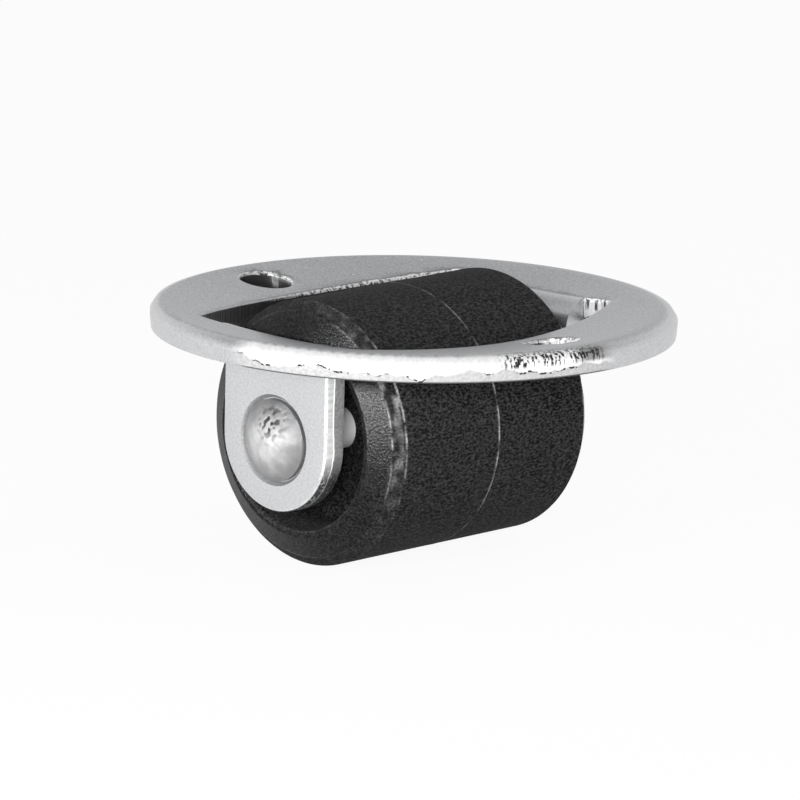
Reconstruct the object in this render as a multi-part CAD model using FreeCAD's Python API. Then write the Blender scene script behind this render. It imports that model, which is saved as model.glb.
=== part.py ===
import FreeCAD, Part
import math
import os

# Fixed caster: a round dished plate with two folded ears, a riveted axle and a moulded roller.
# Millimetres. X is the rolling direction, Y runs along the axle and Z is up.
# The origin is midway between the screw holes, level with the underside of the flat ring round the plate.

# Roller: a moulded tread with bevelled shoulders and a deep recess round the axle at each end
ROLLER_DIAMETER = 25.4
TREAD_SETBACK = 2.18
SHOULDER_SETBACK = 1.23
SHOULDER_DROP = 0.95
RECESS_DIAMETER = 18.0
RECESS_DEPTH = 6.0
RECESS_DRAFT_ANGLE = 3.0
RECESS_LIP = 0.6
BORE_CLEARANCE = 0.08
ROLLER_END_PLAY = 1.6

# Axle rivet: one shank with a domed head at each end, seated in a pressed dimple
AXLE_DEPTH = 8.4
AXLE_DIAMETER = 4.0
AXLE_HOLE_CLEARANCE = 0.05
HEAD_DIAMETER = 7.8
HEAD_HEIGHT = 1.9
HEAD_BAND = 0.5
DIMPLE_MARGIN = 0.45
DIMPLE_DEPTH = 0.5
DIMPLE_FLOOR_MARGIN = 0.1

# Plate: a pressed disc, flat round its edge and dished towards its window
PLATE_DIAMETER = 50.0
SHEET = 2.4
RIM_LAND = 1.6
DISH_ANGLE = 8.0
DISH_BLEND_RADIUS = 5.0
HOLE_DIAMETER = 5.0
CUT_EDGE_BEVEL = 0.25

# Rim: a sheared edge, rolled over at the top, upright, then torn; the shears cut it a little off centre
RIM_OFFSET_X = 0.55
RIM_OFFSET_Y = 0.55
ROLLOVER_WIDTH = 1.4
ROLLOVER_DEPTH = 0.9
BURNISH_DEPTH = 1.3
FRACTURE_LEAN = 0.1

# Ears: tongues of the sheet, folded down along straight lines, with ends rounded about the axle
EAR_WIDTH = 13.7
EAR_EDGE_BEVEL = 0.35
BEND_INNER_RADIUS = 0.4
BEND_THINNING = 0.03
BEND_TAIL = 1.0

# Window: straight ends with a notch beside each ear, and long sides that bow outwards round the roller
WINDOW_END_LAND = 7.5
NOTCH_WIDTH = 3.25
NOTCH_RELIEF = 0.1
WINDOW_SIDE_CLEARANCE = 1.6
WINDOW_CORNER_ROUND = 0.8


def vector(x, y, z):
    return FreeCAD.Vector(x, y, z)


UP = vector(0, 0, 1)
ALONG_X = vector(1, 0, 0)
ALONG_AXLE = vector(0, 1, 0)
CENTRE = vector(0, 0, 0)
RIM_CENTRE = vector(RIM_OFFSET_X, RIM_OFFSET_Y, 0)
AXLE_CENTRE = vector(0, 0, -AXLE_DEPTH)
HALF_TURN = 180
FULL_TURN = 360
TOUCH = 0.001

# Places that several pieces share, worked out from the sizes above
plate_radius = PLATE_DIAMETER / 2
slope = math.radians(DISH_ANGLE)
crease_radius = plate_radius - RIM_LAND
ear_sheet = SHEET - 2 * BEND_THINNING
ear_half = EAR_WIDTH / 2
bend_outer_radius = BEND_INNER_RADIUS + ear_sheet
window_half_length = plate_radius - WINDOW_END_LAND
window_half_middle = ROLLER_DIAMETER / 2 + WINDOW_SIDE_CLEARANCE
window_half_end = ear_half + NOTCH_WIDTH
bend_start = window_half_length - NOTCH_RELIEF
ear_inner = bend_start - bend_outer_radius * (1 - math.sin(slope))
ear_outer = ear_inner + ear_sheet
hole_place = (window_half_middle + crease_radius) / 2
roller_length = 2 * ear_inner - ROLLER_END_PLAY
roller_shift = -ROLLER_END_PLAY / 4
rivet_seat = ear_outer - DIMPLE_DEPTH


def line(start, end):
    return Part.LineSegment(start, end).toShape()


def arc(start, middle, end):
    return Part.Arc(start, middle, end).toShape()


def rounded_outline(corners):
    """A closed wire of straight runs through (point, radius) corners, each rounded by its radius."""
    edges = []
    points = [point for point, radius in corners]
    last = None
    for index, (point, radius) in enumerate(corners):
        back = (points[index - 1] - point).normalize()
        ahead = (points[(index + 1) % len(points)] - point).normalize()
        half_angle = back.getAngle(ahead) / 2
        reach = radius / math.tan(half_angle)
        start = point + back * reach
        end = point + ahead * reach
        if last:
            edges.append(line(last, start))
        else:
            first = start
        if radius:
            inwards = (back + ahead).normalize()
            centre = point + inwards * (radius / math.sin(half_angle))
            edges.append(arc(start, centre - inwards * radius, end))
        last = end
    edges.append(line(last, first))
    return Part.Wire(edges)


def dish_height(radius):
    """Height of the sloping part of the plate's top face at a distance from the centre line."""
    return SHEET + (radius - crease_radius) * math.tan(slope)


def dished_sheet():
    """The sheet, turned from a section of even thickness and wider than the rim that is sheared from it."""
    reach = plate_radius + SHEET
    lower_crease = crease_radius + SHEET * math.tan(slope / 2)
    lower_apex = dish_height(0) - SHEET / math.cos(slope)
    section = rounded_outline([
        (vector(0, 0, dish_height(0)), 0),
        (vector(crease_radius, 0, SHEET), DISH_BLEND_RADIUS),
        (vector(reach, 0, SHEET), 0),
        (vector(reach, 0, 0), 0),
        (vector(lower_crease, 0, 0), 0),
        (vector(0, 0, lower_apex), 0),
    ])
    return Part.Face(section).revolve(CENTRE, UP, FULL_TURN)


def rim_block():
    """A round block with the sheared edge's outline, which leaves the disc where it meets the sheet.

    The rollover is two flat bands: the first ends where a round edge would lean halfway over."""
    over = 1 - math.sqrt(0.5)
    band_slope = over * ROLLOVER_DEPTH / ((1 - over) * ROLLOVER_WIDTH)
    torn_radius = plate_radius - FRACTURE_LEAN
    outline = Part.makePolygon([RIM_CENTRE + vector(out, 0, height) for out, height in (
        (0, -plate_radius),
        (torn_radius, -plate_radius),
        (torn_radius, 0),
        (plate_radius, SHEET - BURNISH_DEPTH),
        (plate_radius, SHEET - ROLLOVER_DEPTH),
        (plate_radius - over * ROLLOVER_WIDTH, SHEET - over * ROLLOVER_DEPTH),
        (0, SHEET + (plate_radius - ROLLOVER_WIDTH) * band_slope),
        (0, -plate_radius),
    )])
    return Part.Face(outline).revolve(RIM_CENTRE, UP, FULL_TURN)


def window_cutter():
    """An upright prism with the window's outline and rounded corners."""
    bottom = -plate_radius
    right_far = vector(window_half_end, window_half_length, bottom)
    right_near = vector(window_half_end, -window_half_length, bottom)
    left_near = vector(-window_half_end, -window_half_length, bottom)
    left_far = vector(-window_half_end, window_half_length, bottom)
    outline = Part.Wire([
        arc(right_near, vector(window_half_middle, 0, bottom), right_far),
        line(right_far, left_far),
        arc(left_far, vector(-window_half_middle, 0, bottom), left_near),
        line(left_near, right_near),
    ])
    prism = Part.Face(outline).extrude(UP * PLATE_DIAMETER)
    corners = [edge for edge in prism.Edges if edge.BoundBox.ZLength > plate_radius]
    return prism.makeFillet(WINDOW_CORNER_ROUND, corners)


def screw_hole_cutter(side):
    foot = vector(side * hole_place, 0, -plate_radius)
    return Part.makeCylinder(HOLE_DIAMETER / 2, PLATE_DIAMETER, foot, UP)


def punched_top_edges(sheet):
    """The upper edges of the upright walls that the window and the screw holes leave in the sheet."""
    edges = []
    for face in sheet.Faces:
        u_start, u_end, v_start, v_end = face.ParameterRange
        normal = face.normalAt((u_start + u_end) / 2, (v_start + v_end) / 2)
        reach = max(math.hypot(vertex.X, vertex.Y) for vertex in face.Vertexes)
        if abs(normal.z) < TOUCH and reach < plate_radius - TOUCH:
            edges += [edge for edge in face.Edges
                      if edge.CenterOfMass.z > face.CenterOfMass.z and edge.BoundBox.ZLength < SHEET]
    return edges


def pierced_disc():
    """The disc with its sheared rim, window and screw holes, whose top edges the punch bevels."""
    sheet = dished_sheet().cut(window_cutter())
    for side in (-1, 1):
        sheet = sheet.cut(screw_hole_cutter(side))
    sheet = sheet.makeChamfer(CUT_EDGE_BEVEL, punched_top_edges(sheet))
    return sheet.common(rim_block())


def ear_strip():
    """The folded strip: a section across the fold, its tail inside the plate, turned along the fold.

    The fold rises to both sides of the ear, as the dish does, so the section turns about a line that lies
    along the axle's direction, high above the plate. The ear's faces stay flat as it does."""
    root = window_half_length + BEND_TAIL
    foot = -AXLE_DEPTH - ear_half
    top_skin = BEND_THINNING / math.cos(slope)
    low_skin = (SHEET - BEND_THINNING) / math.cos(slope)
    section = rounded_outline([
        (vector(0, root, dish_height(root) - top_skin), 0),
        (vector(0, ear_inner, dish_height(ear_inner) - top_skin), bend_outer_radius),
        (vector(0, ear_inner, foot), 0),
        (vector(0, ear_outer, foot), 0),
        (vector(0, ear_outer, dish_height(ear_outer) - low_skin), BEND_INNER_RADIUS),
        (vector(0, root, dish_height(root) - low_skin), 0),
    ])
    rise = dish_height(math.hypot(bend_start, ear_half)) - dish_height(bend_start)
    fold_radius = (ear_half ** 2 + rise ** 2) / (2 * rise)
    fold_axis = vector(0, 0, dish_height(bend_start) + fold_radius)
    half_turn = math.degrees(math.asin(EAR_WIDTH / fold_radius))
    section.rotate(fold_axis, ALONG_AXLE, -half_turn)
    return Part.Face(section).revolve(fold_axis, ALONG_AXLE, 2 * half_turn)


def ear_outline():
    """A block with the ear's outline along the axle: straight sides and an end rounded about the axle."""
    left_top = vector(-ear_half, 0, 2 * SHEET)
    right_top = vector(ear_half, 0, 2 * SHEET)
    left_end = AXLE_CENTRE - ALONG_X * ear_half
    right_end = AXLE_CENTRE + ALONG_X * ear_half
    outline = Part.Wire([
        line(right_top, left_top),
        line(left_top, left_end),
        arc(left_end, AXLE_CENTRE - UP * ear_half, right_end),
        line(right_end, right_top),
    ])
    return Part.Face(outline).extrude(ALONG_AXLE * plate_radius)


def dimple_cutter():
    """The axle's hole through an ear, with the shallow dimple that takes the rivet's head."""
    hole_radius = AXLE_DIAMETER / 2 + AXLE_HOLE_CLEARANCE
    floor_radius = HEAD_DIAMETER / 2 + DIMPLE_FLOOR_MARGIN
    mouth_radius = HEAD_DIAMETER / 2 + DIMPLE_MARGIN
    hole = Part.makeCylinder(hole_radius, plate_radius, AXLE_CENTRE, ALONG_AXLE)
    floor = AXLE_CENTRE + ALONG_AXLE * rivet_seat
    return hole.fuse(Part.makeCone(floor_radius, mouth_radius, DIMPLE_DEPTH, floor, ALONG_AXLE))


def ear():
    """One ear, cut to its outline, with its outer face's edge bevelled and the dimple pressed in."""
    blank = ear_strip().common(ear_outline())
    face_edges = [edge for edge in blank.Edges
                  if abs(edge.BoundBox.YMin - ear_outer) < TOUCH
                  and abs(edge.BoundBox.YMax - ear_outer) < TOUCH
                  and edge.BoundBox.ZLength > SHEET]
    return blank.makeChamfer(EAR_EDGE_BEVEL, face_edges).cut(dimple_cutter())


def mounting_plate():
    """The folded sheet: dished disc, window, screw holes and the two ears, as one solid."""
    far_ear = ear()
    near_ear = far_ear.copy()
    near_ear.rotate(CENTRE, UP, HALF_TURN)
    return pierced_disc().fuse([far_ear, near_ear]).Solids[0]


def axle_rivet():
    """The rivet, turned about the axle: a shank and two heads with a short band under each dome."""
    head_radius = HEAD_DIAMETER / 2
    shank_radius = AXLE_DIAMETER / 2
    dome_base = rivet_seat + HEAD_BAND
    crown = rivet_seat + HEAD_HEIGHT
    dome_height = HEAD_HEIGHT - HEAD_BAND
    dome_radius = (head_radius ** 2 + dome_height ** 2) / (2 * dome_height)
    half_angle = math.asin(head_radius / dome_radius) / 2
    dome_side = dome_radius * math.sin(half_angle)
    dome_level = crown - dome_radius * (1 - math.cos(half_angle))

    def at(along, out):
        return AXLE_CENTRE + vector(out, along, 0)

    section = Part.Wire([
        line(at(-crown, 0), at(crown, 0)),
        arc(at(crown, 0), at(dome_level, dome_side), at(dome_base, head_radius)),
        line(at(dome_base, head_radius), at(rivet_seat, head_radius)),
        line(at(rivet_seat, head_radius), at(rivet_seat, shank_radius)),
        line(at(rivet_seat, shank_radius), at(-rivet_seat, shank_radius)),
        line(at(-rivet_seat, shank_radius), at(-rivet_seat, head_radius)),
        line(at(-rivet_seat, head_radius), at(-dome_base, head_radius)),
        arc(at(-dome_base, head_radius), at(-dome_level, dome_side), at(-crown, 0)),
    ])
    return Part.Face(section).revolve(AXLE_CENTRE, ALONG_AXLE, FULL_TURN)


def roller():
    """The moulded roller, turned about the axle from half an outline and its mirror image."""
    half_length = roller_length / 2
    tread_radius = ROLLER_DIAMETER / 2
    recess_radius = RECESS_DIAMETER / 2
    recess_floor = half_length - RECESS_DEPTH
    floor_radius = recess_radius - RECESS_DEPTH * math.tan(math.radians(RECESS_DRAFT_ANGLE))
    middle = AXLE_CENTRE + ALONG_AXLE * roller_shift
    half_outline = [
        (recess_floor, AXLE_DIAMETER / 2 + BORE_CLEARANCE),
        (recess_floor, floor_radius),
        (half_length, recess_radius),
        (half_length, recess_radius + RECESS_LIP),
        (half_length - SHOULDER_SETBACK, tread_radius - SHOULDER_DROP),
        (half_length - TREAD_SETBACK, tread_radius),
    ]
    outline = half_outline + [(-along, out) for along, out in reversed(half_outline)]
    points = [middle + vector(out, along, 0) for along, out in outline + outline[:1]]
    return Part.Face(Part.makePolygon(points)).revolve(middle, ALONG_AXLE, FULL_TURN)


os.makedirs("parts", exist_ok=True)
for name, make in (("mounting_plate", mounting_plate), ("axle_rivet", axle_rivet), ("roller", roller)):
    shape = make()
    shape.exportStep("parts/" + name + ".step")
    print(name, "valid", shape.isValid(), "solids", len(shape.Solids), "volume", round(shape.Volume, 2))
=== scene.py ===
import math

import bpy
import numpy as np
from mathutils import Matrix, Vector


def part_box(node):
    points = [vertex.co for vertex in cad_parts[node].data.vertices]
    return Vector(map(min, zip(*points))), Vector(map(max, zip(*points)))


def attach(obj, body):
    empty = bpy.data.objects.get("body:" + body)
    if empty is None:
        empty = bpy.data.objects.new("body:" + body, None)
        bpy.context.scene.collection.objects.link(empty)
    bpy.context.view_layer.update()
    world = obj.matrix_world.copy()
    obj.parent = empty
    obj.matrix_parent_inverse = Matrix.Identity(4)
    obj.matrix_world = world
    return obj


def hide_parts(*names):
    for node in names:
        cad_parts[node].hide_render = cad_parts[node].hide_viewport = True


# The caster's looks: a smooth-edged skin for its pressed plate, a hammered skin for its rivet and a moulded
# skin for its roller, then floor, lamps and camera.
# Lengths are metres unless a name says mm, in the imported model's frame.

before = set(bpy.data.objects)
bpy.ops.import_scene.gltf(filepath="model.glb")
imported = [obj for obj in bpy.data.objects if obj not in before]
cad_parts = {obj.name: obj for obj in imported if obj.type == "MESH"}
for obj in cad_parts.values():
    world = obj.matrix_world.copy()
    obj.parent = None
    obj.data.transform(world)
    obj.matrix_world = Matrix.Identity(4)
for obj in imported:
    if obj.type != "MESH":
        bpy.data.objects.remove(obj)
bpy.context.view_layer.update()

MM = 0.001

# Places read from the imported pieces
rivet_low, rivet_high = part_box("axle_rivet")
roller_low, roller_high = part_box("roller")
axle_height = (roller_low.z + roller_high.z) / 2
roller_radius = (roller_high.z - roller_low.z) / 2
roller_half = (roller_high.y - roller_low.y) / 2
roller_middle = (roller_low.y + roller_high.y) / 2

# Sizes of the pressed sheet, which its finishes follow
SHEET_MM = 2.4
CREASE_RADIUS_MM = 23.4
DISH_SLOPE = math.tan(math.radians(8.0))
EAR_HALF_MM = 6.85
EAR_FACE_MM = 17.38
EAR_TOP_MM = -1.2
EAR_MARGIN_MM = 0.1
EAR_FACE_MARGIN_MM = 0.06
EAR_BEVEL_MM = 0.5
DIMPLE_MARGIN_MM = 1.0
RIM_MARGIN_MM = 0.5
PAINTED_SHADE_HOLE_X_MM = -15.0
MOTTLE_TOP_MM = -9.0
MOTTLE_FADE_MM = 2.5
FAR_HIGHLIGHT_START_MM = -5.0
FAR_HIGHLIGHT_FULL_MM = 2.0
SMOOTH_ANGLE = math.radians(52)
WELD = 1e-6

# Sizes of the roller's moulding
TREAD_SETBACK_MM = 2.18
SHOULDER_SETBACK_MM = 1.23
SHOULDER_DROP_MM = 0.95
RECESS_RADIUS_MM = 9.0
RECESS_DEPTH_MM = 6.0
RECESS_FLOOR_RADIUS_MM = 8.686
RECESS_LIP_MM = 0.6
BORE_RADIUS_MM = 2.08
BORE_ROUNDING_MM = 0.15
FLOOR_ROUNDING_MM = 0.8
LIP_ROUNDING_MM = 0.3
EDGE_ROUNDING_MM = 0.12
ROUNDING_STEPS = 6
FINEST_STEP_MM = 0.06
COARSEST_STEP_MM = 1.5
STEP_GROWTH = 0.8
END_MARGIN_MM = 0.2
SHOULDER_MARGIN_MM = 0.1
SEAM_PLACE_MM = 0.35
SKIN_INSET_MM = 0.08
SEAM_HALF_MM = 0.07
FLASH_HALF_MM = 0.09
FLASH_HEIGHT_MM = 0.14
FLASH_HEAVY_TURN = math.radians(24)
FLASH_LEAN = 0.5
FLASH_BASE = 0.4
FLASH_SWING = 0.45
FLASH_FINE_SWING = 0.12
FLASH_MOST = 1.2
FLASH_LEAST = 0.04
FLASH_POWER = 9
FLASH_WAVES = (3, 40)
FLASH_FINE_WAVES = (40, 160)
SEAM_HEAVY_TURN = math.radians(8)
SEAM_BASE = 0.65
SEAM_SWING = 0.4
SEAM_FAINTEST = 0.1
SEAM_LEAST = 0.4
SEAM_POWER = 8
SEAM_WAVES = (2, 40)
BEVEL_MARK_MM = 0.7
BEVEL_MARK_STRETCH = 0.3
BEVEL_MARK_BASE = 0.04
BEVEL_MARK_SWING = 0.22
BEVEL_MARK_MOST = 0.5
ROLLER_ANGLES = 600

# Sizes of the rivet
SHANK_RADIUS_MM = 2.0
HEAD_HEIGHT_MM = 1.9
HEAD_BAND_MM = 0.5
HEAD_ANGLES = 240
DOME_RINGS = 46
SKIRT_START_MM = 1.2
SKIRT_FULL_MM = 3.6
DENT_MM = 2.4
DENT_DEPTH_MM = 0.03
DENT_FADE_MM = 0.6
BURR_MM = 0.8
BURR_DEPTH_MM = 0.07
BURR_PLACE_MM = (0.6, 1.9)
BURR_REACH_MM = 1.7
BURR_BASE = 0.3
BURR_GAIN = 1.3
BURR_CUT = 0.2
TINY_MM = 0.01

# Seeds of the noises, and how many waves a smooth one has
FLASH_SEED = 10
FLASH_EDGE_SEED = 4
FLASH_FINE_SEED = 20
SEAM_SEED = 4
BEVEL_MARK_SEED = 9
DENT_SEED = 7
BURR_SEED = 8
SMOOTH_WAVES = 24

# Sizes of the finishes' patterns; the grain and the pits are finer on the real caster
GRAIN_MM = 0.22
GRAIN_HEIGHT_MM = 0.02
MOTTLE_MM = 2.5
NODULE_SPACING_MM = 1.3
NODULE_HEIGHT_MM = 0.04
DRAG_MM = 0.28
DRAG_STRETCH = 0.06
DRAG_HEIGHT_MM = 0.05
GOUGE_HEIGHT_MM = 0.12
TEAR_WANDER_MM = 5.0
CRUMB_MM = 0.3
CRUMB_HEIGHT_MM = 0.07
PATCH_MM = 1.2
PIT_MM = 0.2
PIT_STRETCH = 0.5
PIT_HEIGHT_MM = 0.08
CLOUD_MM = 5.0

# Specular level of the moulding, low because it is matte
MOULDING_GLOSS = 0.07

# Headings from the middle to the rim's toothed side, its darker side, and the sides of pale burnish that is
# partly a painted highlight
TOOTHED_SIDE = (0.976, -0.219, 0)
DARKER_SIDE = (0.999, 0.035, 0)
HIGHLIGHT_SIDE = (0.749, -0.663, 0)

# Camera: a long lens at the photograph's viewing angle
VIEW_AZIMUTH = 43.96
VIEW_ELEVATION = 12.04
VIEW_ROLL = 1.32
VIEW_DISTANCE = 667 * MM
VIEW_POINT = Vector((0, 0, -4.267 * MM))
VIEW_POINT_PIXEL = (404.3, 371.9)
IMAGE_SIZE = 800
PIXELS_PER_MM = 10.537
SENSOR_MM = 36.0

# Half the floor's width, and shares of white for the floor and the surround
FLOOR_HALF = 3.0
FLOOR_WHITE = 0.93
SURROUND_LIGHT = 0.32
OVERHEAD_MIRRORED = 0.3

# How far away every lamp stands, and where the front ones stand, in degrees from the camera's side
LAMP_DISTANCE = 0.5
FRONT_TURNS = (-55, -5, 40)


def linear(code):
    """A linear RGBA colour from an sRGB hex code."""
    parts = [int(code[i:i + 2], 16) / 255 for i in (1, 3, 5)]
    return [p / 12.92 if p <= 0.04045 else ((p + 0.055) / 1.055) ** 2.4 for p in parts] + [1.0]


def add(tree, kind, inputs=None, **settings):
    """Add one shader node; its inputs are values, sockets, or nodes whose first output is linked.

    A Mix node's inputs go by number: 0 is the share, 2 and 3 are numbers, 4 and 5 vectors, 6 and 7 colours.
    Its outputs 0, 1 and 2 are the mixed number, vector and colour."""
    made = tree.nodes.new(kind)
    for name, value in settings.items():
        setattr(made, name, value)
    for place, value in (inputs or {}).items():
        if isinstance(value, bpy.types.Node):
            value = value.outputs[0]
        if isinstance(value, bpy.types.NodeSocket):
            tree.links.new(value, made.inputs[place])
        else:
            made.inputs[place].default_value = value
    return made


def new_material(name):
    """An empty node material with its output node."""
    material = bpy.data.materials.new(name)
    material.use_nodes = True
    material.node_tree.nodes.clear()
    return material, material.node_tree, add(material.node_tree, "ShaderNodeOutputMaterial")


def zinc_sheet():
    """Zinc-plated pressed steel: satin faces with a sandy grain, and sheared walls, burnished or torn.

    A wall is told from a face by its normal and place. Its depth runs from 0 at the rolled edge to 1.
    Limits on a part of the normal are cosines, and limits on a noise are shares of its height."""
    material, tree, output = new_material("zinc_plated_steel_pressed")
    place = add(tree, "ShaderNodeTexCoord")
    spot = add(tree, "ShaderNodeVectorMath", {0: place.outputs["Object"], "Scale": 1 / MM},
               operation="SCALE")
    at = add(tree, "ShaderNodeSeparateXYZ", {0: spot})
    size = add(tree, "ShaderNodeVectorMath", {0: spot}, operation="ABSOLUTE")
    away = add(tree, "ShaderNodeSeparateXYZ", {0: size})
    lean = add(tree, "ShaderNodeVectorMath", {0: place.outputs["Normal"]}, operation="ABSOLUTE")
    facing = add(tree, "ShaderNodeSeparateXYZ", {0: lean})
    flat = add(tree, "ShaderNodeVectorMath", {0: spot, 1: (1, 1, 0)}, operation="MULTIPLY")
    radius = add(tree, "ShaderNodeVectorMath", {0: flat}, operation="LENGTH")
    heading = add(tree, "ShaderNodeVectorMath", {0: flat}, operation="NORMALIZE")
    axle_spot = add(tree, "ShaderNodeVectorMath", {0: spot, 1: (0, 0, -axle_height / MM)}, operation="ADD")

    # Where the surface is an ear, the rim, or a wall punched through the sheet
    ear_wide = add(tree, "ShaderNodeMath", {0: away.outputs["X"], 1: EAR_HALF_MM + EAR_MARGIN_MM},
                   operation="LESS_THAN")
    ear_near = add(tree, "ShaderNodeMath", {0: away.outputs["Y"], 1: EAR_FACE_MM + EAR_FACE_MARGIN_MM},
                   operation="LESS_THAN")
    ear_far = add(tree, "ShaderNodeMath", {0: away.outputs["Y"], 1: EAR_FACE_MM - SHEET_MM - EAR_MARGIN_MM},
                  operation="GREATER_THAN")
    ear_span = add(tree, "ShaderNodeMath", {0: ear_near, 1: ear_far}, operation="MULTIPLY")
    ear = add(tree, "ShaderNodeMath", {0: ear_span, 1: ear_wide}, operation="MULTIPLY")
    plate = add(tree, "ShaderNodeMath", {0: 1.0, 1: ear}, operation="SUBTRACT")
    rim = add(tree, "ShaderNodeMath", {0: radius.outputs["Value"], 1: CREASE_RADIUS_MM - RIM_MARGIN_MM},
              operation="GREATER_THAN")
    inner = add(tree, "ShaderNodeMath", {0: plate, 1: rim}, operation="SUBTRACT")
    upright = add(tree, "ShaderNodeMapRange", {
        "Value": facing.outputs["Z"], "From Min": 0.5, "From Max": 0.3})
    rolled = add(tree, "ShaderNodeMapRange", {
        "Value": facing.outputs["Z"], "From Min": 0.985, "From Max": 0.9})
    rolled = add(tree, "ShaderNodeMath", {0: rolled, 1: rim}, operation="MULTIPLY")
    upright = add(tree, "ShaderNodeMath", {0: upright, 1: rolled}, operation="MAXIMUM")
    plate_wall = add(tree, "ShaderNodeMath", {0: upright, 1: plate}, operation="MULTIPLY")
    edgewise = add(tree, "ShaderNodeMapRange", {
        "Value": facing.outputs["Y"], "From Min": 0.6, "From Max": 0.4})
    hanging = add(tree, "ShaderNodeMath", {0: at.outputs["Z"], 1: EAR_TOP_MM}, operation="LESS_THAN")
    ear_edge = add(tree, "ShaderNodeMath", {0: edgewise, 1: hanging}, operation="MULTIPLY")
    ear_wall = add(tree, "ShaderNodeMath", {0: ear_edge, 1: ear}, operation="MULTIPLY")
    wall = add(tree, "ShaderNodeMath", {0: plate_wall, 1: ear_wall}, operation="MAXIMUM")

    # How deep in the sheet a wall's point lies
    inside = add(tree, "ShaderNodeMath", {0: CREASE_RADIUS_MM, 1: radius.outputs["Value"]},
                 operation="SUBTRACT")
    inside = add(tree, "ShaderNodeMath", {0: inside, 1: 0.0}, operation="MAXIMUM")
    drop = add(tree, "ShaderNodeMath", {0: inside, 1: DISH_SLOPE, 2: at.outputs["Z"]},
               operation="MULTIPLY_ADD")
    plate_depth = add(tree, "ShaderNodeMath", {0: SHEET_MM, 1: drop}, operation="SUBTRACT")
    ear_depth = add(tree, "ShaderNodeMath", {0: EAR_FACE_MM, 1: away.outputs["Y"]}, operation="SUBTRACT")
    depth = add(tree, "ShaderNodeMix", {0: ear, 2: plate_depth, 3: ear_depth}, data_type="FLOAT")
    depth = add(tree, "ShaderNodeMath", {0: depth, 1: SHEET_MM}, operation="DIVIDE")

    # Drag lines of the shears run through the sheet: one every 0.3 mm or so, long along the depth
    plate_drag = add(tree, "ShaderNodeVectorMath", {0: spot, 1: (1, 1, DRAG_STRETCH)}, operation="MULTIPLY")
    ear_drag = add(tree, "ShaderNodeVectorMath", {0: spot, 1: (1, DRAG_STRETCH, 1)}, operation="MULTIPLY")
    drag_spot = add(tree, "ShaderNodeMix", {0: ear, 4: plate_drag, 5: ear_drag}, data_type="VECTOR")
    drag = add(tree, "ShaderNodeTexNoise", {
        "Vector": drag_spot.outputs[1], "Scale": 1 / DRAG_MM, "Detail": 2.0, "Roughness": 0.6})
    wander = add(tree, "ShaderNodeTexNoise", {
        "Vector": drag_spot.outputs[1], "Scale": 1 / TEAR_WANDER_MM, "Detail": 3.0, "Roughness": 0.65})
    plate_tear = add(tree, "ShaderNodeMapRange", {
        "Value": wander, "From Min": 0.3, "From Max": 0.7, "To Min": 0.42, "To Max": 0.95})
    ear_tear = add(tree, "ShaderNodeMapRange", {
        "Value": wander, "From Min": 0.3, "From Max": 0.7, "To Min": 0.38, "To Max": 0.5})
    tear_line = add(tree, "ShaderNodeMix", {0: ear, 2: plate_tear, 3: ear_tear}, data_type="FLOAT")
    below = add(tree, "ShaderNodeMath", {0: depth, 1: tear_line}, operation="SUBTRACT")
    torn = add(tree, "ShaderNodeMapRange", {"Value": below, "From Min": -0.03, "From Max": 0.03})
    near_line = add(tree, "ShaderNodeMath", {0: below}, operation="ABSOLUTE")
    lip = add(tree, "ShaderNodeMapRange", {"Value": near_line, "From Min": 0.045, "From Max": 0.02})
    crumbs = add(tree, "ShaderNodeTexNoise", {"Vector": spot, "Scale": 1 / CRUMB_MM, "Detail": 4.0})
    patches = add(tree, "ShaderNodeTexNoise", {"Vector": spot, "Scale": 1 / MOTTLE_MM, "Detail": 2.0})

    # Punched walls are burnished; on the rim only two opposite sides are, and that pale band is partly a
    # painted highlight. The shears left teeth on one part of the rim
    highlight_turn = add(tree, "ShaderNodeVectorMath", {0: heading, 1: HIGHLIGHT_SIDE}, operation="DOT_PRODUCT")
    highlight_turn = add(tree, "ShaderNodeMath", {0: highlight_turn.outputs["Value"]}, operation="ABSOLUTE")
    painted_highlight_rim = add(tree, "ShaderNodeMapRange", {"Value": highlight_turn, "From Min": 0.7, "From Max": 0.76})
    off_rim = add(tree, "ShaderNodeMath", {0: 1.0, 1: rim}, operation="SUBTRACT")
    burnish_and_painted_highlight = add(tree, "ShaderNodeMath", {0: painted_highlight_rim, 1: off_rim}, operation="MAXIMUM")
    burnished_wall_and_highlight = add(tree, "ShaderNodeMath", {0: wall, 1: burnish_and_painted_highlight}, operation="MULTIPLY")
    toothed_turn = add(tree, "ShaderNodeVectorMath", {0: heading, 1: TOOTHED_SIDE}, operation="DOT_PRODUCT")
    toothed_rim = add(tree, "ShaderNodeMapRange", {
        "Value": toothed_turn.outputs["Value"], "From Min": 0.972, "From Max": 0.982})
    toothed_rim = add(tree, "ShaderNodeMath", {0: toothed_rim, 1: rim}, operation="MULTIPLY")
    toothed_patch = add(tree, "ShaderNodeMapRange", {"Value": patches, "From Min": 0.46, "From Max": 0.56})
    toothed_patch = add(tree, "ShaderNodeMath", {0: toothed_patch, 1: inner}, operation="MULTIPLY")
    toothed = add(tree, "ShaderNodeMath", {0: toothed_rim, 1: toothed_patch}, operation="MAXIMUM")
    toothed = add(tree, "ShaderNodeMath", {0: toothed, 1: plate_wall}, operation="MULTIPLY")
    shallow = add(tree, "ShaderNodeMapRange", {"Value": depth, "From Min": 0.55, "From Max": 0.42})
    gouge = add(tree, "ShaderNodeMapRange", {"Value": drag, "From Min": 0.5, "From Max": 0.43})
    gouge = add(tree, "ShaderNodeMath", {0: gouge, 1: toothed}, operation="MULTIPLY")
    gouge = add(tree, "ShaderNodeMath", {0: gouge, 1: shallow}, operation="MULTIPLY")
    gaps = add(tree, "ShaderNodeMapRange", {"Value": crumbs, "From Min": 0.47, "From Max": 0.55})
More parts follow.
